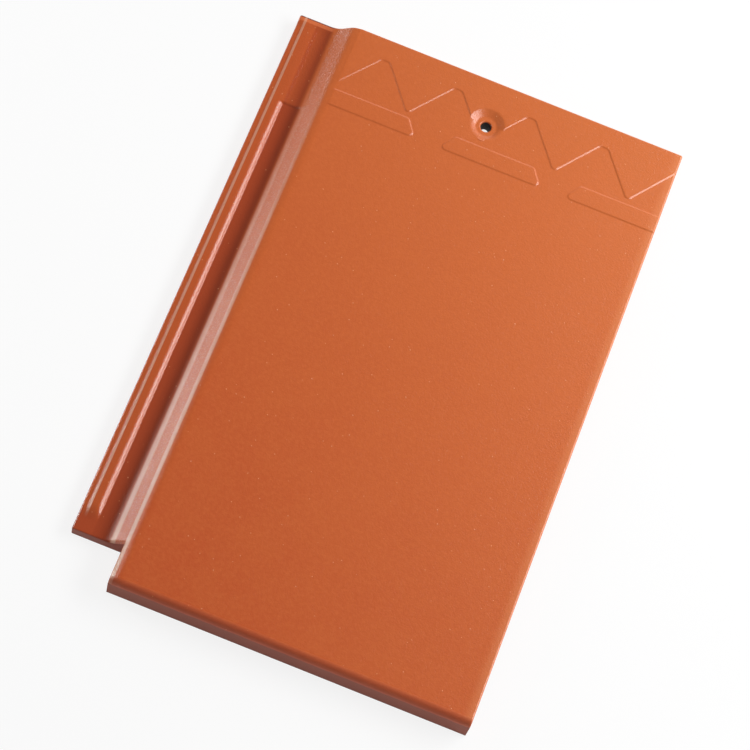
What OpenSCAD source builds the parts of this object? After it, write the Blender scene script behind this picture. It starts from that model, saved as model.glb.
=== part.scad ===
// Flat interlocking clay roof tile, pressed and fired in one piece.
// The face is up, the nose points to -Y, the head to +Y and the water channel runs along the left side.

/* [Plate] */
// Overall width, with the water channel
tile_w = 270; // [240:1:320]
// Overall length from nose to head
tile_l = 420; // [380:1:470]
// Height of the exposed face above the floor
face_h = 22; // [20:0.5:28]
// Thickness of the plate
plate_t = 11; // [9:0.5:12]
// Rounding along the nose
nose_r = 4; // [2:0.5:6]
// Rounding along the right side
side_r = 3; // [1:0.5:5]
// Rounding along the head
head_r = 1.5; // [0.5:0.5:3]
// Rounding of the upright corners
corner_r = 2; // [1:0.5:4]
// Thickness of the lip that hangs under the nose
nose_lip_t = 14; // [10:1:20]
// Rounding of the lip's lower front edge
lip_edge_r = 1; // [0.5:0.5:2]

/* [Shoulder] */
// Distance from the left edge to the plate's own left side at the nose
plate_x = 34.4; // [31:0.2:38]
// Steepness of the shoulder between channel and face
shoulder_deg = 45; // [42:1:52]
// Rounding at the top of the shoulder
shoulder_top_r = 11; // [6:0.5:13]
// Rounding at the foot of the shoulder
shoulder_foot_r = 10; // [6:0.5:12]
// Slope of the underside between channel and plate
soffit_deg = 62; // [50:1:75]

/* [Water channel] */
// Gap between the rib and the plate of the next tile, which covers it
cover_gap = 0.5; // [0.25:0.25:1.5]
// Depth of the channel below the rib's top
channel_depth = 1.75; // [1.5:0.25:2.5]
// Depth of the shallower pan at the head, below the rib's top
pan_depth = 0.75; // [0.5:0.25:1.25]
// Length of the shallower pan, from the head
pan_l = 66; // [40:1:90]
// Width of the lip across the head of the channel
head_lip_w = 2.5; // [1.5:0.5:5]
// Run of the slope from that lip down to the pan
head_slope_l = 5; // [2:0.5:10]
// Drop of the outer flange below the rib's top
flange_drop = 1.5; // [1:0.25:1.5]
// Width of the outer flange
flange_w = 3; // [2:0.25:4]
// Run of the rib's outer flank
outer_flank_w = 2.5; // [2:0.25:4]
// Width of the rib's top
rib_top_w = 4.5; // [3.5:0.25:5.5]
// Run of the rib's inner flank
inner_flank_w = 4.25; // [3.5:0.25:5]
// Rounding of the rib's edges
rib_r = 1.5; // [0.5:0.25:2]
// Rounding of the flange's outer edge
flange_r = 1.5; // [0.5:0.25:1.75]
// Distance from the nose to the foot of the channel
foot_y = 26.8; // [20:0.2:40]
// Length of the bare apron at the foot of the channel
apron_l = 10; // [5:1:20]
// Length over which the rib slopes down to the apron
rib_end_l = 9; // [5:1:15]

/* [Relief] */
// Height of the raised head band and of the bars
relief_h = 0.5; // [0.3:0.1:1]
// Distance from the left edge to the relief
relief_x = 41; // [40:0.5:45]
// Pitch of the zigzag edge
zigzag_pitch = 51.5; // [40:0.5:65]
// Depth of the zigzag from peak to valley
zigzag_d = 29; // [20:0.5:40]
// Distance from the head to the peaks
peak_inset = 16; // [10:0.5:25]
// Width of the flat on each peak
peak_flat = 5.5; // [2:0.5:8]
// Width of the flat in each valley
valley_flat = 2.5; // [1:0.5:5]
// Distance from the left edge to the middle bar's middle
bar_x = 154.2; // [145:0.2:165]
// Pitch of the bars
bar_pitch = 88; // [75:1:110]
// Length of a bar along its lower edge
bar_l = 71; // [50:1:74]
// Width of a bar along the tile
bar_w = 12; // [8:0.5:16]
// Slant of a bar's end
bar_slant = 8; // [4:0.5:12]
// Distance from the valleys to the bars
bar_gap = 4.5; // [2:0.5:10]

/* [Nail hole] */
// Distance of the hole from the left edge
hole_x = 142.4; // [125:0.2:160]
// Distance of the hole from the head
hole_inset = 33; // [28:0.5:40]
// Diameter of the hole
hole_d = 7.5; // [5:0.5:9]
// Diameter of the dimple around the hole
dimple_d = 25; // [20:0.5:30]
// Diameter of the dimple's floor
dimple_floor_d = 14; // [12:0.5:17]
// Depth of the dimple
dimple_depth = 3; // [2:0.25:4]
// Rounding between the dimple's floor and wall
dimple_r = 3; // [1:0.5:4]

/* [Underside] */
// Width of each hanging nib
nib_w = 34; // [20:1:50]
// Thickness of each nib at its tip
nib_t = 10; // [7:0.5:14]
// Run of the slope on a nib's head side
nib_slope = 3; // [1:0.5:6]
// Distance from the head to the nibs
nib_inset = 1; // [0.5:0.5:5]
// Distance between the nibs' middles
nib_pitch = 150; // [110:1:180]
// Gap between the right side and the shoulder of the next tile
side_gap = 1.5; // [0.5:0.25:3]
// Gap around the rib that drops into the next tile's channel
lock_gap = 0.75; // [0.5:0.25:1]

/* [Hidden] */
$fn = 96;
// Overlap that joins neighbouring volumes
join = 1;
// Reach past the outline for cuts and patterns
beyond = 20;
// Corners of the channel section, from the left edge
rib_x0 = flange_w;
rib_x1 = rib_x0 + outer_flank_w;
rib_x2 = rib_x1 + rib_top_w;
rib_x3 = rib_x2 + inner_flank_w;
// The shoulder is placed so that its top rounding ends on the plate's left side
shoulder_tan = tan(shoulder_deg);
top_touch = shoulder_top_r * tan(shoulder_deg / 2);
shoulder_top_x = plate_x + top_touch * cos(shoulder_deg);
slope_top_h = face_h - (shoulder_top_x - plate_x) * shoulder_tan;
underside_h = face_h - plate_t;
rib_h = underside_h - cover_gap;
channel_h = rib_h - channel_depth;
pan_h = rib_h - pan_depth;
flange_h = rib_h - flange_drop;
soffit_run = underside_h / tan(soffit_deg);
pan_y = tile_l - pan_l;
head_lip_y = tile_l - head_lip_w;
hole_y = tile_l - hole_inset;
peak_y = tile_l - peak_inset;
valley_y = peak_y - zigzag_d;
bar_y1 = valley_y - bar_gap;
bar_y0 = bar_y1 - bar_w;
zigzag_count = ceil(tile_w / zigzag_pitch);
bar_count = ceil(tile_w / bar_pitch);
nib_mid = (plate_x + tile_w) / 2;
rib_end_y = foot_y + apron_l + rib_end_l;
// Distance from this tile to the next one on its right
cover_w = tile_w + side_gap - shoulder_x(underside_h);
foot_touch = shoulder_foot_r * tan(shoulder_deg / 2);
lock_x0 = cover_w + rib_x3 + lock_gap;
lock_x1 = cover_w + shoulder_x(channel_h) - foot_touch - lock_gap;
lock_h = channel_h + lock_gap;

// Horizontal place on the shoulder at a given height
function shoulder_x(h) = shoulder_top_x - (face_h - h) / shoulder_tan;
function unit(v) = v / norm(v);
function half_angle(p, a, b) = acos(unit(a - p) * unit(b - p)) / 2;
// Where a rounding of radius r at corner p touches the edge toward a
function touch(p, a, b, r) = p + unit(a - p) * r / tan(half_angle(p, a, b));
function rounding_middle(p, a, b, r) = p + unit(unit(a - p) + unit(b - p)) * r / sin(half_angle(p, a, b));

// The sliver between corner p and a rounding that touches its edges toward a and b
module corner_sliver(p, a, b, r) {
    difference() {
        polygon([p, touch(p, a, b, r), rounding_middle(p, a, b, r), touch(p, b, a, r)]);
        translate(rounding_middle(p, a, b, r)) circle(r);
    }
}

// Runs a section drawn in X and Z along the tile, from y0 to y1
module along(y0, y1) {
    translate([0, y1, 0]) rotate([90, 0, 0]) linear_extrude(y1 - y0) children();
}

// Runs a section drawn in Y and Z across the tile, from x0 to x1
module across(x0, x1) {
    translate([x0, 0, 0]) rotate([90, 0, 90]) linear_extrude(x1 - x0) children();
}

// Plan of the tile, with the notch beside the nose
module outline() {
    foot_left = [0, foot_y];
    notch = [plate_x, foot_y];
    nose_left = [plate_x, 0];
    nose_right = [tile_w, 0];
    head_right = [tile_w, tile_l];
    head_left = [0, tile_l];
    difference() {
        polygon([foot_left, notch, nose_left, nose_right, head_right, head_left]);
        corner_sliver(foot_left, notch, head_left, corner_r);
        corner_sliver(nose_left, notch, nose_right, corner_r);
        corner_sliver(nose_right, nose_left, head_right, corner_r);
        corner_sliver(head_right, nose_right, head_left, corner_r);
        corner_sliver(head_left, head_right, foot_left, corner_r);
    }
}

// Section across the plate and the lip under the nose, seen along the tile
module plate_section() {
    left_low = [plate_x, 0];
    right_low = [tile_w, 0];
    right_top = [tile_w, face_h];
    left_top = [shoulder_top_x, face_h];
    left_slope = [plate_x, slope_top_h];
    difference() {
        polygon([left_low, right_low, right_top, left_top, left_slope]);
        corner_sliver(right_top, right_low, left_top, side_r);
        corner_sliver(left_top, right_top, left_slope, shoulder_top_r);
    }
}

// Section along the plate, with the nose's lip at its front
module length_section() {
    lip_front = [0, 0];
    lip_back = [nose_lip_t, 0];
    lip_root = [nose_lip_t, underside_h];
    head_low = [tile_l, underside_h];
    head_top = [tile_l, face_h];
    nose_top = [0, face_h];
    difference() {
        polygon([lip_front, lip_back, lip_root, head_low, head_top, nose_top]);
        corner_sliver(nose_top, lip_front, head_top, nose_r);
        corner_sliver(head_top, head_low, nose_top, head_r);
        corner_sliver(lip_front, lip_back, nose_top, lip_edge_r);
    }
}

// Section of the channel's floor, shoulder and sloping underside, from x0 and with the floor at a given height
module floor_section(x0, floor_h) {
    foot = [shoulder_x(floor_h), floor_h];
    top = [plate_x, slope_top_h];
    floor_left = [x0, floor_h];
    polygon([
        [x0, 0],
        [plate_x, 0],
        [plate_x + soffit_run, underside_h],
        [plate_x + soffit_run, slope_top_h],
        top,
        foot,
        floor_left
    ]);
    corner_sliver(foot, top, floor_left, shoulder_foot_r);
}

// Section of the outer flange and the rib beside it, above the floor
module rib_section() {
    flange_left = [0, flange_h];
    outer_foot = [rib_x0, flange_h];
    outer_top = [rib_x1, rib_h];
    inner_top = [rib_x2, rib_h];
    inner_foot = [rib_x3, channel_h];
    difference() {
        polygon([[0, 0], flange_left, outer_foot, outer_top, inner_top, inner_foot, [rib_x3, 0]]);
        corner_sliver(flange_left, [0, 0], outer_foot, flange_r);
        corner_sliver(outer_top, outer_foot, inner_top, rib_r);
        corner_sliver(inner_top, outer_top, inner_foot, rib_r);
    }
}

// Slope that takes the rib down to the apron at the foot of the channel
module rib_end_cut() {
    across(-beyond, rib_x3 + join)
        polygon([
            [foot_y - beyond, channel_h],
            [foot_y + apron_l, channel_h],
            [rib_end_y, rib_h],
            [rib_end_y, rib_h + beyond],
            [foot_y - beyond, rib_h + beyond]
        ]);
}

// Plate with its nose
module plate() {
    intersection() {
        along(0, tile_l) plate_section();
        across(0, tile_w) length_section();
    }
}

// Slope from the lip across the head down to the pan
module head_slope() {
    across(rib_x1, shoulder_x(rib_h))
        polygon([
            [head_lip_y - head_slope_l, 0],
            [head_lip_y - head_slope_l, pan_h],
            [head_lip_y, rib_h],
            [head_lip_y + join, rib_h],
            [head_lip_y + join, 0]
        ]);
}

// Channel with its rib, its shallower pan and the lip across its head
module channel() {
    along(foot_y, tile_l) floor_section(rib_x1, channel_h);
    along(pan_y, tile_l) floor_section(rib_x1, pan_h);
    along(head_lip_y, tile_l) floor_section(0, rib_h);
    head_slope();
    difference() {
        along(foot_y, tile_l) rib_section();
        rib_end_cut();
    }
}

// Exposed body without relief
module body() {
    intersection() {
        union() {
            plate();
            channel();
        }
        linear_extrude(face_h + beyond) outline();
    }
}

// Plan of the head band, whose lower edge is a zigzag centred on the nail hole
module head_band_plan() {
    edge = [
        for (i = [-zigzag_count:zigzag_count])
        for (p = [
            [-valley_flat / 2, valley_y],
            [valley_flat / 2, valley_y],
            [(zigzag_pitch - peak_flat) / 2, peak_y],
            [(zigzag_pitch + peak_flat) / 2, peak_y]
        ])
        [hole_x + i * zigzag_pitch + p.x, p.y]
    ];
    reach = zigzag_count * zigzag_pitch;
    far = tile_l + beyond;
    polygon(concat(edge, [[hole_x + reach + zigzag_pitch, far], [hole_x - reach, far]]));
}

// Plan of the row of bars, which the sides of the face cut off
module bars_plan() {
    for (i = [-bar_count:bar_count])
        translate([bar_x + i * bar_pitch, 0])
            polygon([
                [-bar_l / 2, bar_y0],
                [bar_l / 2, bar_y0],
                [bar_l / 2 - bar_slant, bar_y1],
                [-bar_l / 2 + bar_slant, bar_y1]
            ]);
}

// Raised head band and bars, which follow the rounded edges of the face
module relief() {
    intersection() {
        translate([0, 0, relief_h]) plate();
        linear_extrude(face_h + beyond) outline();
        translate([relief_x, 0, 0]) cube([tile_w, tile_l, face_h + beyond]);
        translate([0, 0, underside_h + join]) linear_extrude(face_h) {
            head_band_plan();
            bars_plan();
        }
    }
}

// Dish around the nail hole and the hole itself
module nail_hole_cut() {
    middle = [0, -dimple_depth];
    floor_edge = [dimple_floor_d / 2, -dimple_depth];
    rim = [dimple_d / 2, relief_h];
    translate([hole_x, hole_y, face_h]) {
        rotate_extrude() difference() {
            polygon([middle, floor_edge, rim, [dimple_d / 2, beyond], [0, beyond]]);
            corner_sliver(floor_edge, middle, rim, dimple_r);
        }
        translate([0, 0, -face_h - join]) cylinder(d = hole_d, h = face_h + join);
    }
}

// Nibs that hang the tile on its batten
module nibs() {
    nib_y1 = tile_l - nib_inset;
    nib_y0 = nib_y1 - nib_slope - nib_t;
    for (side = [-1, 1])
        translate([nib_mid + side * nib_pitch / 2, 0, 0])
            across(-nib_w / 2, nib_w / 2)
                polygon([
                    [nib_y0, 0],
                    [nib_y0 + nib_t, 0],
                    [nib_y1, underside_h],
                    [nib_y1, underside_h + join],
                    [nib_y0, underside_h + join]
                ]);
}

// Rib under the right side that drops into the next tile's channel
module side_lock() {
    lock_y0 = nose_lip_t - join;
    translate([lock_x0, lock_y0, lock_h])
        cube([lock_x1 - lock_x0, pan_y - lock_gap - lock_y0, underside_h + join - lock_h]);
}

module roof_tile() {
    color([0.80, 0.43, 0.22])
        translate([-tile_w / 2, -tile_l / 2, 0])
            difference() {
                union() {
                    body();
                    relief();
                    nibs();
                    side_lock();
                }
                nail_hole_cut();
            }
}

roof_tile();
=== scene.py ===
# %% [markdown]
# # A glazed clay roof tile
# The tile is one pressed and fired piece: a flat plate with a relief at its head, and a water channel along its left side.
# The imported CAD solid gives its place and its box. Here the tile is modelled again with soft edges and the fine forms of the press, and then glazed.

# %% Load the frame
import math
import bmesh
import bpy
from mathutils import Matrix, Vector


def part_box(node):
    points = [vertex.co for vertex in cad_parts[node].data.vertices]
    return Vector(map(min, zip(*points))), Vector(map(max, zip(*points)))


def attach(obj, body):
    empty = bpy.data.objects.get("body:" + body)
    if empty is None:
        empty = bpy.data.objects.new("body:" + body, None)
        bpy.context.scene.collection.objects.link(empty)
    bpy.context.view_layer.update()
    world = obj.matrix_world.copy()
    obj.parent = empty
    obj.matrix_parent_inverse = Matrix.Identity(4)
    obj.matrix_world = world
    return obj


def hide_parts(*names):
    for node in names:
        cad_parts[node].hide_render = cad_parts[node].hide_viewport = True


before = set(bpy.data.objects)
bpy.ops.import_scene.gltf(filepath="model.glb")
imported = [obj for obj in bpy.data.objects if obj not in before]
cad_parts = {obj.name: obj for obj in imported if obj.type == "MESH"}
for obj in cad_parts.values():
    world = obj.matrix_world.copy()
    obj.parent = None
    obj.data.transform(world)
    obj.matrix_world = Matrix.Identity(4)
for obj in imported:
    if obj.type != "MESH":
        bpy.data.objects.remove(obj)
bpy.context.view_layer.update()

tile_low, tile_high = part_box("roof_tile")
print("CAD box", [round(v, 4) for v in tile_low], [round(v, 4) for v in tile_high])

# %% [markdown]
# ## Places on the tile
# A tile maker measures from the left edge, from the nose and from the bench. Every place below is given that way, in millimetres, and one helper turns it into Blender's metres.

# %% Bench measures
MM = 0.001
WIDTH = (tile_high.x - tile_low.x) / MM
LENGTH = (tile_high.y - tile_low.y) / MM


def at(x, y, z):
    """A place measured from the left edge, the nose and the bench."""
    return tile_low + Vector((x, y, z)) * MM


def bench(place):
    """The same measures of a place that is already in Blender."""
    return (place - tile_low) / MM


print(f"tile is {WIDTH:.1f} mm wide and {LENGTH:.1f} mm long")

# %% [markdown]
# ## Working in edit mode
# Each operator acts on what is selected, so a short helper picks vertices, edges or faces by a test on their place, as a modeller would with a box selection.

# %% Selecting by place
def open_mesh(piece):
    """Makes a piece the only selected one and opens it in edit mode."""
    bpy.ops.object.select_all(action="DESELECT")
    piece.select_set(True)
    bpy.context.view_layer.objects.active = piece
    bpy.ops.object.mode_set(mode="EDIT")


def close_mesh():
    bpy.ops.object.mode_set(mode="OBJECT")


def middle(part):
    """Bench measures of the middle of a vertex, edge or face."""
    if isinstance(part, bmesh.types.BMVert):
        return bench(part.co)
    corners = [v.co for v in part.verts]
    return bench(sum(corners, Vector()) / len(corners))


def pick(kind, test):
    """Selects the vertices, edges or faces that pass a test, and says how many there are."""
    bpy.ops.mesh.select_mode(type=kind)
    bpy.ops.mesh.select_all(action="DESELECT")
    data = bpy.context.edit_object.data
    mesh = bmesh.from_edit_mesh(data)
    parts = {"VERT": mesh.verts, "EDGE": mesh.edges, "FACE": mesh.faces}[kind]
    chosen = [p for p in parts if test(p)]
    for p in chosen:
        p.select_set(True)
    mesh.select_flush_mode()
    bmesh.update_edit_mesh(data)
    return len(chosen)


def near(a, b, slack=0.02):
    return abs(a - b) < slack


# %% [markdown]
# ## Rounded corners
# The press leaves no sharp corner. A drawn line is given a radius at each corner, and a few steps along the arc take the corner's place.

# %% Rounding a drawn line
def rounded(corners, steps=8):
    """Points of an open line of (a, b, radius) corners, with each corner that has a radius turned into an arc."""
    line = []
    for i, (a, b, radius) in enumerate(corners):
        here = Vector((a, b))
        if radius == 0 or i in (0, len(corners) - 1):
            line.append(here)
            continue
        to_last = (Vector(corners[i - 1][:2]) - here).normalized()
        to_next = (Vector(corners[i + 1][:2]) - here).normalized()
        half = to_last.angle(to_next) / 2
        hub = here + (to_last + to_next).normalized() * radius / math.sin(half)
        start = here + to_last * radius / math.tan(half) - hub
        end = here + to_next * radius / math.tan(half) - hub
        sweep = start.angle_signed(end)
        for k in range(steps + 1):
            turn = -sweep * k / steps
            spoke = Vector(
                (
                    start.x * math.cos(turn) - start.y * math.sin(turn),
                    start.x * math.sin(turn) + start.y * math.cos(turn),
                )
            )
            line.append(hub + spoke)
    return line


def shifted(corners, distance):
    """The same open line moved sideways to its right by a distance, with its corners kept."""
    moved = []
    for i, (a, b, radius) in enumerate(corners):
        here = Vector((a, b))
        sides = []
        if i > 0:
            sides.append((here - Vector(corners[i - 1][:2])).normalized())
        if i < len(corners) - 1:
            sides.append((Vector(corners[i + 1][:2]) - here).normalized())
        rights = [Vector((s.y, -s.x)) for s in sides]
        across = sum(rights, Vector((0, 0))) / len(rights)
        across = across * distance / across.length_squared
        moved.append((here.x + across.x, here.y + across.y, radius))
    return moved

# %% [markdown]
# ## The plan of the face
# The face is flat, apart from a head band and a row of bars that stand a little proud of it. The band's lower edge is a zigzag.
# The plan could be cut with a knife, but drawing it as flat polygons that share their corners keeps every line exact.
# Narrow strips lie along the nose, because that edge is rolled over later.
# A polygon starts as a circle with the right number of corners, and each corner is then moved to its place.

# %% Measures of the face
FACE_H = 22.0
RELIEF = 0.5
SHOULDER_DEG = 45.0
SHOULDER_R = 11.0
SIDE_R = 1.2
NOSE_R = 4.5
PLATE_X = 34.4
shoulder_tan = math.tan(math.radians(SHOULDER_DEG))
shoulder_touch = SHOULDER_R * math.tan(math.radians(SHOULDER_DEG / 2))
shoulder_x = PLATE_X + shoulder_touch * math.cos(math.radians(SHOULDER_DEG))
face_left = shoulder_x + shoulder_touch
face_right = WIDTH - SIDE_R
print(f"the flat face runs from {face_left:.2f} to {face_right:.2f} mm")

# %% Lines of the relief
HOLE_X, HOLE_Y = 142.4, LENGTH - 33
PEAK_Y, VALLEY_Y = LENGTH - 16, LENGTH - 45
BAR_TOP, BAR_LOW = VALLEY_Y - 4.5, VALLEY_Y - 16.5
PITCH, PEAK_FLAT, VALLEY_FLAT = 51.5, 5.5, 2.5
BAR_MIDDLE, BAR_PITCH, BAR_LENGTH, BAR_SLANT = 154.2, 88.0, 71.0, 8.0
SLOPE_RUN = 1.4
HALF_RUN = SLOPE_RUN / 2


def zigzag_height(x):
    """Where the zigzag runs at a distance x from the left edge."""
    away = abs((x - HOLE_X + PITCH / 2) % PITCH - PITCH / 2)
    rise = (PITCH - PEAK_FLAT - VALLEY_FLAT) / 2
    share = (away - VALLEY_FLAT / 2) / rise
    return VALLEY_Y + (PEAK_Y - VALLEY_Y) * min(1, max(0, share))


zigzag_corners = [(face_right, zigzag_height(face_right), 0)]
for turn in range(2, -4, -1):
    hub = HOLE_X + turn * PITCH
    for x, y, r in (
        (hub + (PITCH + PEAK_FLAT) / 2, PEAK_Y, 2.5),
        (hub + (PITCH - PEAK_FLAT) / 2, PEAK_Y, 2.5),
        (hub + VALLEY_FLAT / 2, VALLEY_Y, 2.8),
        (hub - VALLEY_FLAT / 2, VALLEY_Y, 2.8),
    ):
        if face_left + 2 < x < face_right - 1:
            zigzag_corners.append((x, y, r))
zigzag_corners.append((face_left, zigzag_height(face_left), 0))
zigzag = rounded(shifted(zigzag_corners, -HALF_RUN), steps=3)
zigzag[0].x, zigzag[-1].x = face_right, face_left
print(f"the zigzag has {len(zigzag)} points")

# %% Ends of the bars
BAR_CORNER_R = 3.0
row_low, row_top = BAR_LOW - HALF_RUN, BAR_TOP + HALF_RUN


def bar_end(turn, side):
    """Rounded end of a bar, counted from the middle one. The right end runs upwards and the left end downwards."""
    hub = BAR_MIDDLE + turn * BAR_PITCH
    tip, shoulder = hub + side * BAR_LENGTH / 2, hub + side * (BAR_LENGTH / 2 - BAR_SLANT)
    line = [(hub, BAR_LOW, 0), (tip, BAR_LOW, BAR_CORNER_R), (shoulder, BAR_TOP, BAR_CORNER_R), (hub, BAR_TOP, 0)]
    if side < 0:
        line.reverse()
    return [tuple(p) for p in rounded(shifted(line, HALF_RUN), steps=4)[1:-1]]


left_bar_end = bar_end(-1, 1)
middle_bar_start, middle_bar_end = bar_end(0, -1), bar_end(0, 1)
right_bar_start = bar_end(1, -1)
print("bar ends at", [round(max(p[0] for p in e), 1) for e in (left_bar_end, middle_bar_end)])

# %% [markdown]
# The left border of the face carries on into the channel.
# So it already gets a corner at each place where the channel changes: the foot, the end of the rib, the step into the shallow pan and the ramp up to the lip at the head.
# The nose gets closer rows, one for every ten degrees of its roll.

# %% Stations along the channel
FOOT_Y = 26.8
rib_end_rows = [36.0, 37.2, 38.6, 40.0, 41.4, 42.8, 44.2, 45.6, 46.8]
pan_rows = [352.8, 353.4, 354.0, 354.6, 355.2]
lip_rows = [410.8, 411.8, 412.8, 414.0, 415.2, 416.4, 417.2, 418.0]
stations = [FOOT_Y, *rib_end_rows, *pan_rows, *lip_rows]
nose_rows = [NOSE_R * (1 - math.sin(math.radians(turn))) for turn in range(90, -1, -10)]
print(len(stations), "stations from", stations[0], "to", stations[-1])


# %% Draw the plan
def draw_polygon(outline):
    """Adds a flat polygon to the open mesh: a circle with that many corners, each moved to its place on the face."""
    bpy.ops.mesh.select_all(action="DESELECT")
    bpy.ops.mesh.primitive_circle_add(vertices=len(outline), radius=0.01, fill_type="NGON")
    data = bpy.context.edit_object.data
    mesh = bmesh.from_edit_mesh(data)
    polygon = next(f for f in mesh.faces if f.select)
    for corner, place in zip(polygon.verts, outline):
        corner.co = at(place[0], place[1], FACE_H)
    bmesh.update_edit_mesh(data)


def border(low, high):
    """Corners of the left border between two heights, from the head towards the nose."""
    return [(face_left, y) for y in reversed(stations) if low < y < high]


zigzag_line = [tuple(p) for p in zigzag]
bpy.ops.object.select_all(action="DESELECT")
bpy.ops.mesh.primitive_plane_add(size=0.01)
tile = bpy.context.active_object
tile.name = "glazed_tile"
tile.data.name = "glazed_tile"
open_mesh(tile)
bpy.ops.mesh.select_all(action="SELECT")
bpy.ops.mesh.delete(type="VERT")
for low, high in zip(nose_rows, nose_rows[1:]):
    draw_polygon([(face_left, low), (face_right, low), (face_right, high), (face_left, high)])
draw_polygon(
    [(face_left, NOSE_R), (face_right, NOSE_R), (face_right, row_low), right_bar_start[-1]]
    + [middle_bar_end[0], middle_bar_start[-1], left_bar_end[0], (face_left, row_low)]
    + border(NOSE_R, row_low)
)
draw_polygon([(face_left, row_low)] + left_bar_end + [(face_left, row_top)])
draw_polygon([left_bar_end[0]] + middle_bar_start[::-1] + left_bar_end[:0:-1])
draw_polygon(middle_bar_start + middle_bar_end)
draw_polygon([middle_bar_end[0]] + right_bar_start[::-1] + middle_bar_end[:0:-1])
draw_polygon(right_bar_start + [(face_right, row_low), (face_right, row_top)])
draw_polygon(
    [(face_left, row_top), left_bar_end[-1], middle_bar_start[0], middle_bar_end[-1]]
    + [right_bar_start[0], (face_right, row_top)]
    + zigzag_line
)
draw_polygon(zigzag_line[::-1] + [(face_right, LENGTH), (face_left, LENGTH)] + border(row_top, LENGTH))
bpy.ops.mesh.select_all(action="SELECT")
bpy.ops.mesh.remove_doubles(threshold=0.02 * MM)
close_mesh()
print("plan faces up:", all(f.normal.z > 0 for f in tile.data.polygons))
print("plan has", len(tile.data.polygons), "faces and", len(tile.data.vertices), "corners")

# %% [markdown]
# The relief is pressed from a soft mould, so its edge is an S-shaped slope and not a step. A few small insets, each a little higher than the last, draw that slope. Insets leave the open border alone, so the relief runs out over the edges of the face.

# %% Raise the relief
SLOPE_STEPS = [(0.28, 0.04), (0.28, 0.13), (0.28, 0.16), (0.28, 0.13), (0.28, 0.04)]


def is_relief(face):
    spots = [bench(v.co) for v in face.verts]
    if max(p.y for p in spots) > LENGTH - 1:
        return True
    inside = all(row_low - 0.1 < p.y < row_top + 0.1 for p in spots)
    place = (middle(face).x - BAR_MIDDLE) / BAR_PITCH
    is_middle_bar = abs(place - round(place)) < 0.25
    is_side_bar = min(p.x for p in spots) < face_left + 1 or max(p.x for p in spots) > face_right - 1
    return inside and (is_middle_bar or is_side_bar)


open_mesh(tile)
raised = pick("FACE", is_relief)
for run, rise in SLOPE_STEPS:
    bpy.ops.mesh.inset(thickness=run * MM, depth=rise * MM, use_boundary=False)
close_mesh()
heights = [bench(v.co).z for v in tile.data.vertices]
print(raised, "raised faces; the relief stands", round(max(heights) - FACE_H, 3), "mm proud")

# %% [markdown]
# ## Shoulder, channel and rib
# Along the left side the face rolls over a shoulder and drops into the water channel. Beyond the channel stands a low rib, and then a flange that ends the tile.
# The section is drawn once with its radii. The left border of the face is then extruded along it, point by point, so the whole side stays one smooth sheet.

# %% Section of the channel
FLANGE_H, RIB_H, CHANNEL_H, PAN_H = 9.0, 10.5, 8.75, 9.75
foot_x = shoulder_x - (FACE_H - CHANNEL_H) / shoulder_tan
section = rounded(
    [
        (face_left + 1, FACE_H, 0),
        (shoulder_x, FACE_H, SHOULDER_R),
        (foot_x, CHANNEL_H, 12.0),
        (12.9, CHANNEL_H, 1.5),
        (10.4, RIB_H, 6.0),
        (5.5, RIB_H, 1.5),
        (3.0, FLANGE_H, 1.5),
        (0.0, FLANGE_H, 1.5),
        (0.0, 0.0, 0),
    ]
)[1:]
SHOULDER_STEPS = 8
print(len(section), "points in the section, from", tuple(section[0]), "to", tuple(section[-1]))


# %% Extrude the shoulder
def extrude_along(points, fade=1.0):
    """Extrudes what is selected from each point of a section to the next. A fade below 1 lets the relief run out."""
    for here, there in zip(points, points[1:]):
        step = Vector((there.x - here.x, 0, there.y - here.y)) * MM
        bpy.ops.mesh.extrude_region_move(TRANSFORM_OT_translate={"value": step})
        bpy.ops.transform.resize(value=(1, 1, fade), center_override=at(0, 0, there.y))


def flatten(height):
    """Brings what is selected to one height."""
    bpy.ops.transform.resize(value=(1, 1, 0), center_override=at(0, 0, height))


def on_border(x, low=-1, high=LENGTH + 1):
    """Test for open edges that run along the tile at a distance x from the left edge."""

    def test(edge):
        spots = [bench(v.co) for v in edge.verts]
        return edge.is_boundary and all(near(p.x, x) and low <= p.y <= high for p in spots)

    return test


open_mesh(tile)
pick("EDGE", on_border(face_left))
extrude_along(section[: SHOULDER_STEPS + 1], fade=0.4)
side_x, side_h = section[SHOULDER_STEPS]
pick("EDGE", on_border(side_x, low=FOOT_Y - 0.1))
extrude_along(section[SHOULDER_STEPS : SHOULDER_STEPS + 2])
flatten(section[SHOULDER_STEPS + 1].y)
extrude_along(section[SHOULDER_STEPS + 1 :])
flatten(0)
pick("EDGE", on_border(side_x, high=FOOT_Y + 0.1))
bpy.ops.mesh.extrude_region_move(TRANSFORM_OT_translate={"value": (0, 0, -side_h * MM)})
flatten(0)
close_mesh()
print("with its channel the sheet has", len(tile.data.polygons), "faces")

# %% [markdown]
# At its foot the rib runs down to a bare apron. Near the head the floor steps up into a shallow pan, and a ramp ends it at a lip across the channel. Each row of corners is moved up or down by the share that its station calls for.

# %% Shape the channel along its length
def ease(value, low, high):
    """A soft share from 0 at low to 1 at high."""
    share = min(1, max(0, (value - low) / (high - low)))
    return share * share * (3 - 2 * share)


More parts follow.
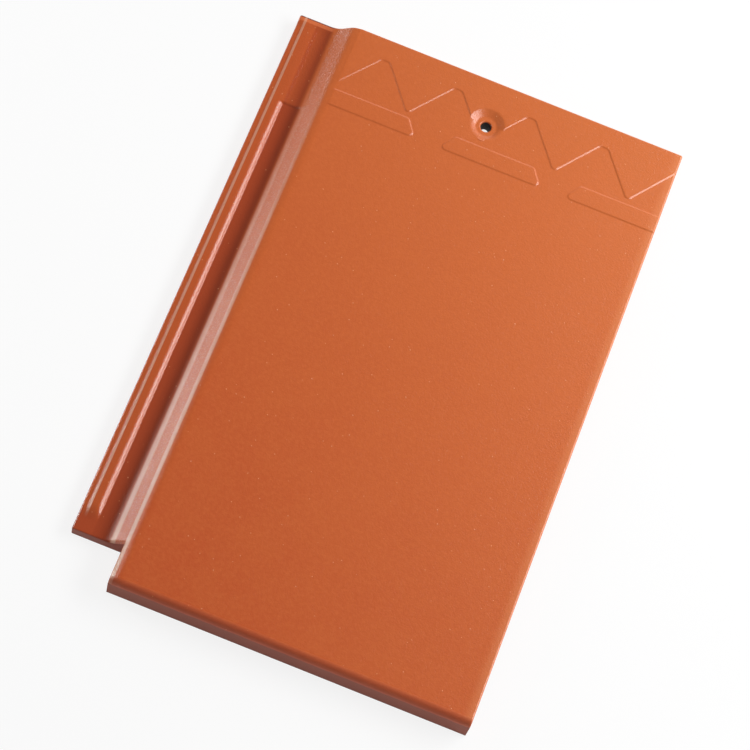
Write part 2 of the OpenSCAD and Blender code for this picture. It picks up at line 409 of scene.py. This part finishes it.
def shape_channel(place):
    """Where a corner of the plain channel goes."""
    x, y, z = place
    if x > foot_x + 6 or z < 1e-3:
        return place
    rib_share = ease(y, rib_end_rows[0], rib_end_rows[-1])
    pan_share = ease(y, pan_rows[0], pan_rows[-1])
    lip_share = ease(y, lip_rows[0], lip_rows[-1])
    rise = (PAN_H - CHANNEL_H) * pan_share + (RIB_H - PAN_H) * lip_share
    depth = RIB_H - CHANNEL_H
    if x > 18:
        return Vector((x + rise / shoulder_tan, y, z + rise))
    if x > 8:
        z = RIB_H - (RIB_H - z) * (depth - rise) / depth
        x += max(0, x - 9.5) * 0.8 * pan_share
    elif x > 2:
        z = RIB_H - (RIB_H - z) * (1 - lip_share)
    else:
        z += (RIB_H - FLANGE_H) * lip_share
    if x > 1.6:
        z = CHANNEL_H + (z - CHANNEL_H) * rib_share
    else:
        z -= (FLANGE_H - CHANNEL_H) * (1 - rib_share)
    return Vector((x, y, z))


open_mesh(tile)
mesh = bmesh.from_edit_mesh(tile.data)
for corner in mesh.verts:
    corner.co = at(*shape_channel(bench(corner.co)))
bmesh.update_edit_mesh(tile.data)
close_mesh()
print("rib top at", round(max(bench(v.co).z for v in tile.data.vertices if bench(v.co).x < 12), 2), "mm")

# %% [markdown]
# ## Right side, nose, foot and head
# The right border rolls over and drops to the bench. The strips along the nose then sink along an arc, which rounds that edge as the press does. A bevel could round it too, but it would meet the shoulder's many edges at the corner.
# Last, the open ends are closed with flat faces, and the bottom with one more, so that the tile is a solid block that the underside can be cut from.

# %% Close the block
side_section = rounded([(face_right - 1, FACE_H, 0), (WIDTH, FACE_H, SIDE_R), (WIDTH, 0, 0)])[1:]
open_mesh(tile)
pick("EDGE", on_border(face_right))
extrude_along(side_section)
flatten(0)
mesh = bmesh.from_edit_mesh(tile.data)
for corner in mesh.verts:
    spot = bench(corner.co)
    if spot.y < NOSE_R and spot.z > 0.001:
        short = NOSE_R - max(0, spot.y)
        corner.co.z -= (NOSE_R - math.sqrt(NOSE_R**2 - short**2)) * MM
bmesh.update_edit_mesh(tile.data)


def open_at(y):
    """Test for open edges that lie across the tile at a distance y from the nose."""
    return lambda edge: edge.is_boundary and all(near(bench(v.co).y, y) for v in edge.verts)


for end in (FOOT_Y, 0, LENGTH):
    print(pick("EDGE", open_at(end)), "open edges closed at", end)
    bpy.ops.mesh.edge_face_add()
print(pick("EDGE", lambda e: e.is_boundary), "open edges at the bottom")
bpy.ops.mesh.edge_face_add()
bpy.ops.mesh.select_all(action="SELECT")
bpy.ops.mesh.normals_make_consistent(inside=False)
left_open = pick("EDGE", lambda e: not e.is_manifold)
close_mesh()
print("block has", len(tile.data.polygons), "faces and", left_open, "open edges")

# %% [markdown]
# ## Soft ends
# The head and the foot of the channel end in flat faces. Their upper edges are softened, and most where a hand wipes the wet clay: where the shoulder ends above the foot. Upright edges stay crisp, and the bottom edges are sharp, as the press trims them.
# One bevel does all of it, with a weight on each edge that says how round it gets.

# %% Weigh the edges of the ends
SOFTEST, HEAD_SOFT, FOOT_SOFT = 3.0, 1.2, 0.9


def softness(edge):
    """Radius for an edge of one of the flat ends, or 0 for any other edge."""
    a, b = (bench(v.co) for v in edge.verts)
    here = (a + b) / 2
    if max(a.z, b.z) < 0.01 or not near(a.y, b.y):
        return 0
    if near(a.y, LENGTH):
        return HEAD_SOFT
    if near(a.y, FOOT_Y) and min(a.x, b.x) < side_x - 0.05:
        return FOOT_SOFT + (SOFTEST - FOOT_SOFT) * ease(here.x, 20, 29)
    return 0


open_mesh(tile)
mesh = bmesh.from_edit_mesh(tile.data)
weight = mesh.edges.layers.float.new("bevel_weight_edge")
for edge in mesh.edges:
    edge[weight] = softness(edge) / SOFTEST
soft_count = sum(e[weight] > 0 for e in mesh.edges)
bmesh.update_edit_mesh(tile.data)
close_mesh()
print(soft_count, "edges of the ends are to be softened")

# %% Bevel the ends
bevel = tile.modifiers.new("soft_ends", "BEVEL")
bevel.limit_method, bevel.width, bevel.segments = "WEIGHT", SOFTEST * MM, 6
bevel.use_clamp_overlap = False
bpy.context.view_layer.objects.active = tile
bpy.ops.object.modifier_apply(modifier=bevel.name)
print("softened block has", len(tile.data.polygons), "faces")

# %% [markdown]
# The large flat faces have many corners and deep bays, which a later cut can misread. Dividing them into triangles now keeps them exact.

# %% Divide the large faces
open_mesh(tile)
bpy.ops.mesh.select_mode(type="FACE")
bpy.ops.mesh.select_all(action="DESELECT")
bpy.ops.mesh.select_face_by_sides(number=4, type="GREATER")
bpy.ops.mesh.quads_convert_to_tris(ngon_method="BEAUTY")
close_mesh()
print("divided block has", len(tile.data.polygons), "faces")

# %% [markdown]
# ## Underside
# Below, the plate is hollow: only the channel and a lip along the nose reach the roof. A cutter with a sloping left side takes the clay away. Two nibs at the head hang the tile on its batten, and a thin rib near the right side drops into the next tile's channel.

# %% Cut the hollow
PLATE_H = 11.0
LIP_Y = 14.0
SOFFIT_RUN = 5.85


def add_block(low, high, name):
    """A cube between two corners, given in bench measures."""
    bpy.ops.object.select_all(action="DESELECT")
    bpy.ops.mesh.primitive_cube_add(size=1)
    block = bpy.context.active_object
    block.name = name
    low, high = at(*low), at(*high)
    block.scale = high - low
    block.location = (low + high) / 2
    bpy.ops.object.transform_apply(location=True, rotation=True, scale=True)
    return block


def combine(piece, other, operation):
    """Joins another closed piece to this one, or cuts it away, and removes the other."""
    bpy.context.view_layer.objects.active = piece
    boolean = piece.modifiers.new("combine", "BOOLEAN")
    boolean.object, boolean.operation, boolean.solver = other, operation, "MANIFOLD"
    bpy.ops.object.modifier_apply(modifier=boolean.name)
    bpy.data.objects.remove(other)
    return len(piece.data.polygons)


hollow = add_block((PLATE_X, LIP_Y, -5), (WIDTH + 20, LENGTH + 20, PLATE_H), "hollow")
open_mesh(hollow)
pick("VERT", lambda v: near(bench(v.co).x, PLATE_X) and bench(v.co).z > 5)
bpy.ops.transform.translate(value=(SOFFIT_RUN * MM, 0, 0))
pick("VERT", lambda v: near(bench(v.co).x, PLATE_X) and bench(v.co).z < 0)
bpy.ops.transform.translate(value=(-SOFFIT_RUN * 5 / PLATE_H * MM, 0, 0))
pick("EDGE", lambda e: near(middle(e).z, PLATE_H) and middle(e).x < WIDTH and middle(e).y < LENGTH)
bpy.ops.mesh.bevel(offset=2.5 * MM, segments=5, affect="EDGES")
close_mesh()
print("hollowed tile has", combine(tile, hollow, "DIFFERENCE"), "faces")

# %% Add the nibs and the lock rib
NIB_W, NIB_PITCH, NIB_BACK = 34.0, 150.0, 13.0
nib_middle = (PLATE_X + WIDTH) / 2
for side in (-1, 1):
    x = nib_middle + side * NIB_PITCH / 2
    nib = add_block((x - NIB_W / 2, LENGTH - 1 - NIB_BACK, 0), (x + NIB_W / 2, LENGTH - 1.3, PLATE_H + 1), "nib")
    open_mesh(nib)
    pick("VERT", lambda v: bench(v.co).z < 1 and bench(v.co).y > LENGTH - 3)
    bpy.ops.transform.translate(value=(0, -2.7 * MM, 0))
    pick("EDGE", lambda e: middle(e).z < 8)
    bpy.ops.mesh.bevel(offset=1.5 * MM, segments=4, affect="EDGES")
    close_mesh()
    combine(tile, nib, "UNION")

LOCK_X0, LOCK_X1, LOCK_H = 259.9, 264.3, 9.5
lock = add_block((LOCK_X0, LIP_Y - 1, LOCK_H), (LOCK_X1, 353.0, PLATE_H + 1), "lock")
open_mesh(lock)
pick("EDGE", lambda e: near(middle(e).z, LOCK_H) or near(middle(e).y, 353.0))
bpy.ops.mesh.bevel(offset=0.6 * MM, segments=4, affect="EDGES")
close_mesh()
print("with nibs and lock rib", combine(tile, lock, "UNION"), "faces")

# %% [markdown]
# ## Nail hole
# A round dimple holds the nail's head below the face. The cutter is turned: a circle is extruded and scaled ring by ring, from the hole up through the dimple's floor and wall, and flares at the rim so that the cut leaves a soft edge.

# %% Cut the dimple and the hole
HOLE_R = 3.75
dish = rounded(
    [
        (2.0, 5.0, 0),
        (HOLE_R, 20.0, 0.9),
        (7.0, 20.0, 4.0),
        (12.2, 22.3, 3.0),
        (15.0, 22.7, 0),
        (15.0, 30.0, 0),
    ],
    steps=6,
)
bpy.ops.object.select_all(action="DESELECT")
bpy.ops.mesh.primitive_circle_add(
    vertices=64, radius=dish[0].x * MM, fill_type="NGON", location=at(HOLE_X, HOLE_Y, dish[0].y)
)
dish_cutter = bpy.context.active_object
bpy.ops.object.transform_apply(location=True, rotation=True, scale=True)
open_mesh(dish_cutter)
bpy.ops.mesh.select_all(action="SELECT")
for here, there in zip(dish, dish[1:]):
    rise = (there.y - here.y) * MM
    bpy.ops.mesh.extrude_region_move(TRANSFORM_OT_translate={"value": (0, 0, rise)})
    grow = there.x / here.x
    bpy.ops.transform.resize(value=(grow, grow, 1), center_override=at(HOLE_X, HOLE_Y, there.y))
bpy.ops.mesh.select_all(action="SELECT")
bpy.ops.mesh.normals_make_consistent(inside=False)
close_mesh()
print("with its nail hole", combine(tile, dish_cutter, "DIFFERENCE"), "faces")

# %% [markdown]
# The rounded forms shade smoothly, and edges sharper than 40 degrees stay crisp. Weighted normals keep the large flat face even.

# %% Smooth the shading
bpy.ops.object.select_all(action="DESELECT")
tile.select_set(True)
bpy.context.view_layer.objects.active = tile
bpy.ops.object.shade_smooth_by_angle(angle=math.radians(40))
weights = tile.modifiers.new("even_shading", "WEIGHTED_NORMAL")
weights.keep_sharp = True
weights.weight = 90
bpy.ops.object.modifier_apply(modifier=weights.name)
check = bmesh.new()
check.from_mesh(tile.data)
print("open edges", sum(not e.is_manifold for e in check.edges), "volume", round(check.calc_volume() * 1e6, 1), "cm3")
check.free()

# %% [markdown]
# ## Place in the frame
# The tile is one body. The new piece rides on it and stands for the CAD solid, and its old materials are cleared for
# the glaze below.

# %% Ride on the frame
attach(tile, "root")
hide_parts("roof_tile")
tile.data.materials.clear()
print("piece", tile.name, "rides on root")

# %% [markdown]
# ## The glaze
# The orange glaze is opaque and glossy. Its colour is painted paler towards the head and the right, as painted light
# where the key falls most. Painted highlights and reflections lie along the right edge, the slope's edges, the rib's
# outer flank and the lip at the head. Painted shade darkens the rib, the apron, the channel, the channel's head end and
# the nail hole, and it is darker and redder in the channel, with a painted shadow of the shoulder darkest beside it. It
# has the fine orange-peel skin and the sparse specks of a sprayed glaze, whose light colour is partly a painted glint.
# The lower part of the nose, the foot's end and the underside are bare, duller clay.
# The colours could be painted on an image, but masks measured from the tile's own edges need no image and stay sharp at any size.

# %% A small node helper
def srgb(r, g, b):
    """A colour picked as 0 to 255 values, as Blender's linear numbers."""
    lin = [(c / 255 / 12.92) if c / 255 <= 0.04045 else ((c / 255 + 0.055) / 1.055) ** 2.4 for c in (r, g, b)]
    return (*lin, 1.0)


glaze = bpy.data.materials.new("orange_glaze")
glaze.use_nodes = True
nodes, links = glaze.node_tree.nodes, glaze.node_tree.links
shader = nodes["Principled BSDF"]
coords = nodes.new("ShaderNodeTexCoord")
place = nodes.new("ShaderNodeSeparateXYZ")
links.new(coords.outputs["Object"], place.inputs[0])


def share(source, low, high, smooth=True):
    """A 0 to 1 share of a value between two limits."""
    node = nodes.new("ShaderNodeMapRange")
    node.interpolation_type = "SMOOTHSTEP" if smooth else "LINEAR"
    links.new(source, node.inputs["Value"])
    node.inputs["From Min"].default_value, node.inputs["From Max"].default_value = low, high
    return node.outputs["Result"]


def from_left(start, end):
    """A share that grows from one distance from the left edge to another, in millimetres."""
    return share(place.outputs["X"], tile_low.x + start * MM, tile_low.x + end * MM)


def from_nose(start, end, smooth=True):
    """A share that grows from one distance from the nose to another, in millimetres."""
    return share(place.outputs["Y"], tile_low.y + start * MM, tile_low.y + end * MM, smooth)


def math_node(operation, a, b):
    node = nodes.new("ShaderNodeMath")
    node.operation = operation
    for socket, value in zip(node.inputs, (a, b)):
        if isinstance(value, (int, float)):
            socket.default_value = value
        else:
            links.new(value, socket)
    return node.outputs[0]


def blend_colour(factor, a, b):
    node = nodes.new("ShaderNodeMix")
    node.data_type = "RGBA"
    links.new(factor, node.inputs["Factor"])
    for socket, value in zip((node.inputs[6], node.inputs[7]), (a, b)):
        if isinstance(value, tuple):
            socket.default_value = value
        else:
            links.new(value, socket)
    return node.outputs[2]


def times(a, b):
    return math_node("MULTIPLY", a, b)


def stripe(start, full, fading, end):
    """A stripe along the tile, by its distances from the left edge, with soft sides."""
    return times(from_left(start, full), from_left(end, fading))


def noise(scale, detail=2.0, rough=0.5):
    node = nodes.new("ShaderNodeTexNoise")
    links.new(coords.outputs["Object"], node.inputs["Vector"])
    node.inputs["Scale"].default_value = scale
    node.inputs["Detail"].default_value = detail
    node.inputs["Roughness"].default_value = rough
    return node.outputs["Fac"]


print("glaze has", len(nodes), "nodes to start with")

# %% Glaze on the face, with painted light towards the head
FACE_SHADED_BY_NOSE, FACE_LIT_BY_HEAD = srgb(206, 87, 40), srgb(213, 113, 56)
MOTTLE, GRAIN = srgb(214, 107, 50), srgb(222, 116, 58)
x, y, z = place.outputs
# Painted light: the face is painted paler towards the head and the right, where the key light falls most, and darker
# towards the nose and the left.
painted_light_to_head = share(math_node("ADD", times(y, 0.8), times(x, 0.7)), -0.26, 0.26, smooth=False)
face = blend_colour(painted_light_to_head, FACE_SHADED_BY_NOSE, FACE_LIT_BY_HEAD)
face = blend_colour(times(share(noise(28, 4, 0.6), 0.3, 0.7), 0.3), face, MOTTLE)
face = blend_colour(times(share(noise(420, 2, 0.5), 0.35, 0.75), 0.3), face, GRAIN)
print("face glaze is laid")

# %% Painted shade in the channel and on the rib
# Painted shade: the apron and the rib are painted darker than the face.
APRON_SHADE, RIB_SHADE = srgb(180, 75, 37), srgb(196, 90, 43)
CHANNEL_SHADE, SHOULDER_SHADOW = srgb(171, 70, 34), srgb(152, 60, 28)
LIP_HIGHLIGHT, BACK_EDGE_SHADE = srgb(236, 128, 78), srgb(128, 48, 26)
# Painted shade fills the channel, with less of it in the shallow pan. A painted shadow of the shoulder darkens the
# floor towards the shoulder's foot.
in_pan = from_nose(353.5, 354.5)
channel_shade_level = math_node("SUBTRACT", 1, times(in_pan, 0.3))
channel_shade_share = times(times(from_left(12, 14), from_left(26, 22.5)), channel_shade_level)
shoulder_shadow_share = times(from_left(14, 23), channel_shade_share)
above_apron = from_nose(36, 46)
colour = blend_colour(from_left(16, 14), face, blend_colour(above_apron, APRON_SHADE, RIB_SHADE))
colour = blend_colour(channel_shade_share, colour, CHANNEL_SHADE)
colour = blend_colour(shoulder_shadow_share, colour, SHOULDER_SHADOW)
beside_face = from_left(26, 23)
# Painted highlight along the front edge of the lip at the head.
colour = blend_colour(times(times(from_nose(415.6, 416.6), beside_face), 0.6), colour, LIP_HIGHLIGHT)
# Painted shade on the head end of the channel.
colour = blend_colour(times(from_nose(418.4, 419), beside_face), colour, BACK_EDGE_SHADE)
print("channel glaze is laid")

# %% Painted highlights and reflections on the edges, and the nose
RIGHT_EDGE_SHEEN, NOSE = srgb(232, 140, 88), srgb(198, 82, 38)
SPARKLE, SLOPE_EDGE_HIGHLIGHT, FLANGE_REFLECTION = srgb(238, 196, 176), srgb(255, 222, 195), srgb(255, 210, 180)
# Painted sheen along the rounded right edge.
colour = blend_colour(times(from_left(262, 269), 0.45), colour, RIGHT_EDGE_SHEEN)
on_slope = times(from_left(25, 28), from_left(38, 35))
# Painted glints speckle the slope.
sparkle = times(share(noise(1000, 1, 0.5), 0.5, 0.7), on_slope)
colour = blend_colour(times(sparkle, 0.14), colour, SPARKLE)
# Painted highlights along both edges of the slope, brightest near the foot.
to_foot = from_nose(390, 40, smooth=False)
slope_edge_highlights = math_node("ADD", stripe(24.4, 26, 27.4, 29), stripe(34, 35, 36.2, 37.4))
colour = blend_colour(times(times(slope_edge_highlights, to_foot), 0.6), colour, SLOPE_EDGE_HIGHLIGHT)
# Painted reflection along the rib's outer flank.
flange_reflection = times(stripe(3.4, 4.2, 5.2, 5.8), above_apron)
colour = blend_colour(times(flange_reflection, 0.35), colour, FLANGE_REFLECTION)
by_nose = from_nose(5, 2)
colour = blend_colour(times(by_nose, 0.7), colour, NOSE)
print("edges are laid")

# %% Specks, bare clay and painted shade in the hole
SPECK_AND_GLINT, BARE_CLAY, HOLE_SHADE = srgb(244, 165, 110), srgb(165, 80, 54), srgb(34, 22, 18)
speck_cells = nodes.new("ShaderNodeTexVoronoi")
links.new(coords.outputs["Object"], speck_cells.inputs["Vector"])
speck_cells.inputs["Scale"].default_value = 160
# Specks are small lumps of glaze; their light colour is partly a painted glint.
speck = share(speck_cells.outputs["Distance"], 0.085, 0.035)
colour = blend_colour(times(speck, 0.55), colour, SPECK_AND_GLINT)
ragged = times(math_node("SUBTRACT", noise(160, 3, 0.6), 0.5), 2.2 * MM)
low_edge = math_node("ADD", z, ragged)
at_nose = times(from_nose(0.9, 0.3), share(low_edge, 16.6 * MM, 16.0 * MM))
at_foot = times(from_left(34.5, 34.2), from_nose(27.2, 26.95))
at_bottom = share(z, 0.3 * MM, 0.1 * MM)
below_plate = times(share(z, 11.4 * MM, 11.1 * MM), from_left(34.6, 35))
below_plate = times(below_plate, from_nose(1.0, 1.4))
bare = math_node("MAXIMUM", at_nose, math_node("MAXIMUM", at_foot, at_bottom))
bare = math_node("MAXIMUM", bare, below_plate)
colour = blend_colour(bare, colour, BARE_CLAY)
hole = at(HOLE_X, HOLE_Y, 0)
off_x = math_node("POWER", math_node("SUBTRACT", x, hole.x), 2)
off_y = math_node("POWER", math_node("SUBTRACT", y, hole.y), 2)
off_hole = math_node("SQRT", math_node("ADD", off_x, off_y), 0)
# Painted shade inside the nail hole.
hole_shade_share = times(share(off_hole, 4.2 * MM, 3.9 * MM), share(z, 19.4 * MM, 18.4 * MM))
colour = blend_colour(hole_shade_share, colour, HOLE_SHADE)
links.new(colour, shader.inputs["Base Color"])
print("glaze has", len(nodes), "nodes")

# %% [markdown]
# The channel is the glossiest, the open face a little less so, and the wiped nose and the bare clay are dull. Fine noise gives the glaze its orange-peel skin, stronger on the slope, and each speck is a small lump.

# %% Skin and gloss
shader.inputs["IOR"].default_value = 1.6
gloss = math_node("ADD", times(from_left(20, 25), 0.06), 0.14)
gloss = math_node("ADD", gloss, times(from_left(41, 45), 0.07))
gloss = math_node("ADD", gloss, times(by_nose, 0.4))
dull = math_node("MAXIMUM", bare, hole_shade_share)
gloss = math_node("MINIMUM", 0.7, math_node("ADD", gloss, times(dull, 0.5)))
links.new(gloss, shader.inputs["Roughness"])
peel = nodes.new("ShaderNodeBump")
peel.inputs["Strength"].default_value = 0.9
peel.inputs["Distance"].default_value = 0.2 * MM
grain = math_node("SUBTRACT", noise(760, 4, 0.7), 0.5)
grain = times(grain, math_node("ADD", 1, times(on_slope, 0.6)))
links.new(grain, peel.inputs["Height"])
lump = nodes.new("ShaderNodeBump")
lump.inputs["Strength"].default_value = 0.5
lump.inputs["Distance"].default_value = 0.15 * MM
links.new(speck, lump.inputs["Height"])
links.new(peel.outputs["Normal"], lump.inputs["Normal"])
links.new(lump.outputs["Normal"], shader.inputs["Normal"])
tile.data.materials.append(glaze)
print("finished glaze has", len(nodes), "nodes")

# %% [markdown]
# ## Floor, light and camera
# The tile lies on a plain white floor. Part of the floor's own light is seen only by the camera and in reflections, so it stays white and still keeps the tile's shadow.

# %% White floor
bpy.ops.object.select_all(action="DESELECT")
bpy.ops.mesh.primitive_plane_add(size=12, location=(0, 0, tile_low.z - 0.0002))
floor = bpy.context.active_object
floor.name = "floor"
paper = bpy.data.materials.new("white_floor")
paper.use_nodes = True
p_nodes, p_links = paper.node_tree.nodes, paper.node_tree.links
p_nodes.remove(p_nodes["Principled BSDF"])
diffuse = p_nodes.new("ShaderNodeBsdfDiffuse")
diffuse.inputs["Color"].default_value = (0.95, 0.95, 0.95, 1)
glow = p_nodes.new("ShaderNodeEmission")
path = p_nodes.new("ShaderNodeLightPath")
seen = p_nodes.new("ShaderNodeMath")
seen.operation = "MAXIMUM"
p_links.new(path.outputs["Is Camera Ray"], seen.inputs[0])
p_links.new(path.outputs["Is Glossy Ray"], seen.inputs[1])
part = p_nodes.new("ShaderNodeMath")
part.operation = "MULTIPLY"
part.inputs[1].default_value = 0.85
p_links.new(seen.outputs[0], part.inputs[0])
mix = p_nodes.new("ShaderNodeMixShader")
p_links.new(part.outputs[0], mix.inputs[0])
p_links.new(diffuse.outputs[0], mix.inputs[1])
p_links.new(glow.outputs[0], mix.inputs[2])
p_links.new(mix.outputs[0], p_nodes["Material Output"].inputs["Surface"])
floor.data.materials.append(paper)
print("floor is at", round(floor.location.z * 1000, 2), "mm")

# %% [markdown]
# A key light on the right shows the relief, and a wide panel behind fills it. A row of low panels on the left, fading towards the head, lights the slope beside the channel. They are kept low, so that the flat face doesn't mirror them when it is seen from the right.

# %% White room
world = bpy.data.worlds.new("white_room")
bpy.context.scene.world = world
world.use_nodes = True
w_nodes, w_links = world.node_tree.nodes, world.node_tree.links
background = w_nodes["Background"]
background.inputs["Color"].default_value = (1, 1, 1, 1)
w_path = w_nodes.new("ShaderNodeLightPath")
level = w_nodes.new("ShaderNodeMapRange")
w_links.new(w_path.outputs["Is Camera Ray"], level.inputs["Value"])
level.inputs["To Min"].default_value, level.inputs["To Max"].default_value = 0.16, 1.0
w_links.new(level.outputs["Result"], background.inputs["Strength"])
print("room gives", round(level.inputs["To Min"].default_value, 2), "of its white as light")


# %% Lamps
def panel(name, place, target, size, power):
    """A soft rectangular lamp at a place, facing a target."""
    lamp = bpy.data.lights.new(name, "AREA")
    lamp.shape = "RECTANGLE"
    lamp.size, lamp.size_y = size
    lamp.energy = power
    thing = bpy.data.objects.new(name, lamp)
    bpy.context.scene.collection.objects.link(thing)
    thing.location = place
    aim = Vector(target) - Vector(place)
    thing.rotation_mode = "QUATERNION"
    thing.rotation_quaternion = aim.to_track_quat("-Z", "Y")


panel("key", (0.923, 0.392, 0.903), (0, 0, 0), (1.2, 0.5), 18)
panel("back", (0.35, 1.2, 0.55), (0, 0, 0), (1.8, 0.7), 5)
panel("notch_strip", (-0.9, 0.03, 0.52), (-0.1, -0.2, 0.02), (0.14, 0.45), 1.6)
LEFT_SIZE = (0.14, 0.10)
LEFT_LEVEL = 2.35 * math.pi * 0.014
LEFT_ROW = [(0.12, 11.5), (0.26, 6.4), (0.40, 3.3), (0.54, 1.5), (0.68, 0.75)]
for number, (along, brightness) in enumerate(LEFT_ROW):
    panel(f"left_{number}", (-0.9, along, 0.05), (-0.1, along, 0.02), LEFT_SIZE, LEFT_LEVEL * brightness)

# %% [markdown]
# The camera looks down steeply at the face from a little right of the nose, rolled so that the tile leans. Its place comes from the tile's corners as they are seen.

# %% Camera
AZIMUTH, ELEVATION, ROLL = 2.70, 66.0, 19.266
DISTANCE, LENS = 1869.5 * MM, 141.84
camera_data = bpy.data.cameras.new("camera")
camera = bpy.data.objects.new("camera", camera_data)
bpy.context.scene.collection.objects.link(camera)
camera_data.sensor_width = 36
camera_data.lens = LENS
camera_data.clip_end = 50
a, e, r = (math.radians(v) for v in (AZIMUTH, ELEVATION, ROLL))
back = Vector((math.sin(a) * math.cos(e), -math.cos(a) * math.cos(e), math.sin(e)))
right = Vector((math.cos(a), math.sin(a), 0))
up = back.cross(right)
across = math.cos(r) * right + math.sin(r) * up
upward = -math.sin(r) * right + math.cos(r) * up
turned = Matrix((across, upward, back)).transposed().to_4x4()
aim = Vector((1.39, -14.10, 11.0)) * MM
camera.matrix_world = Matrix.Translation(aim + back * DISTANCE) @ turned
bpy.context.scene.camera = camera
bpy.context.scene.view_settings.view_transform = "Standard"
print("camera at", [round(v, 3) for v in camera.location])
